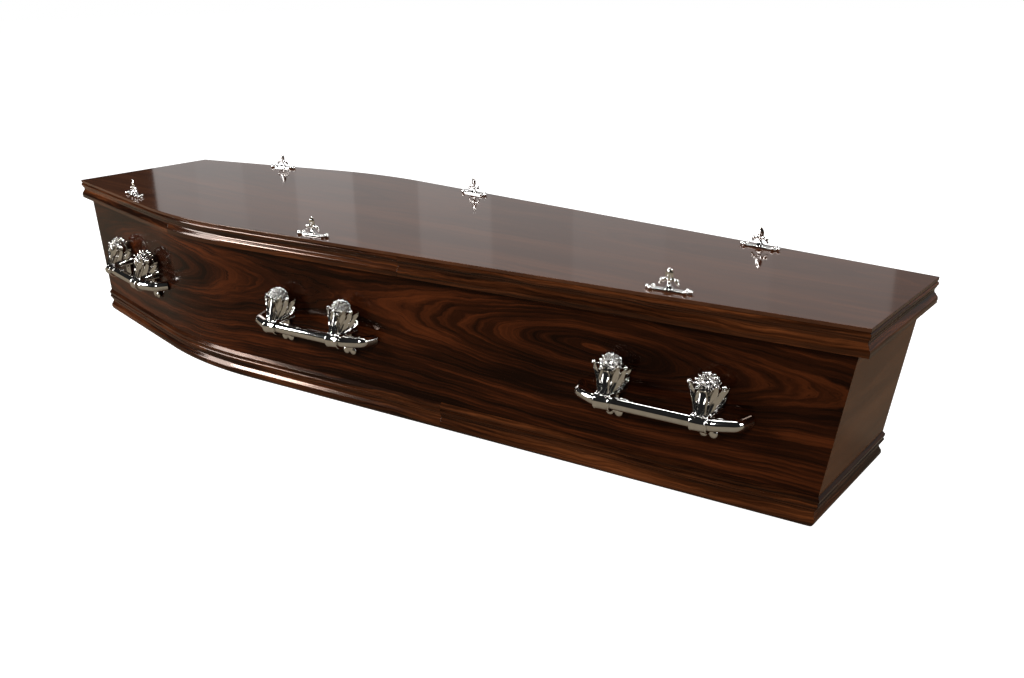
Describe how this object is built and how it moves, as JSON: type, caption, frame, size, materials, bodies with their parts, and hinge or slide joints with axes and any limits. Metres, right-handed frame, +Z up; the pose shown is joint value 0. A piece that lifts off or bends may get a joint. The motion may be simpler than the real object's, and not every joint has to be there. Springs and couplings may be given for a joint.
{
  "type": "coffin",
  "caption": "Closed bowed-shoulder coffin in gloss rosewood finish, with moulded lid and base, plated bar handles along the sides and fleur lid screws; the lid lifts off.",
  "frame": {"origin": "on the floor under the middle of the lid, on the centre line", "axes": "+X from head to foot, +Y to the left side, +Z up"},
  "size_m": [2.0028, 0.6312, 0.3772],
  "materials": {
    "lid": "high-gloss rosewood foil over board",
    "panel": "high-gloss rosewood foil with flame figure",
    "moulding": "high-gloss rosewood foil along the length",
    "board": "plain fibreboard",
    "chrome": "bright plated"
  },
  "bodies": {
    "root": {"lid_board": "lid", "lid_moulding_left_head": "moulding", "lid_moulding_left_shoulder": "moulding", "lid_moulding_left_foot": "moulding", "lid_moulding_right_head": "moulding", "lid_moulding_right_shoulder": "moulding", "lid_moulding_right_foot": "moulding", "lid_moulding_head_end": "moulding", "lid_moulding_foot_end": "moulding", "side_panel_left": "panel", "side_panel_right": "panel", "end_panel_head": "panel", "end_panel_foot": "panel", "base_board": "board", "base_moulding_left_head": "moulding", "base_moulding_left_shoulder": "moulding", "base_moulding_left_foot": "moulding", "base_moulding_right_head": "moulding", "base_moulding_right_shoulder": "moulding", "base_moulding_right_foot": "moulding", "base_moulding_head_end": "moulding", "base_moulding_foot_end": "moulding", "handle_left_head_bar": "chrome", "handle_left_head_bracket_a": "chrome", "handle_left_head_bracket_b": "chrome", "handle_left_middle_bar": "chrome", "handle_left_middle_bracket_a": "chrome", "handle_left_middle_bracket_b": "chrome", "handle_left_foot_bar": "chrome", "handle_left_foot_bracket_a": "chrome", "handle_left_foot_bracket_b": "chrome", "handle_right_head_bar": "chrome", "handle_right_head_bracket_a": "chrome", "handle_right_head_bracket_b": "chrome", "handle_right_middle_bar": "chrome", "handle_right_middle_bracket_a": "chrome", "handle_right_middle_bracket_b": "chrome", "handle_right_foot_bar": "chrome", "handle_right_foot_bracket_a": "chrome", "handle_right_foot_bracket_b": "chrome", "lid_screw_left_head_plate": "chrome", "lid_screw_left_head_thumb": "chrome", "lid_screw_left_middle_plate": "chrome", "lid_screw_left_middle_thumb": "chrome", "lid_screw_left_foot_plate": "chrome", "lid_screw_left_foot_thumb": "chrome", "lid_screw_right_head_plate": "chrome", "lid_screw_right_head_thumb": "chrome", "lid_screw_right_middle_plate": "chrome", "lid_screw_right_middle_thumb": "chrome", "lid_screw_right_foot_plate": "chrome", "lid_screw_right_foot_thumb": "chrome"}
  },
  "joints": []
}
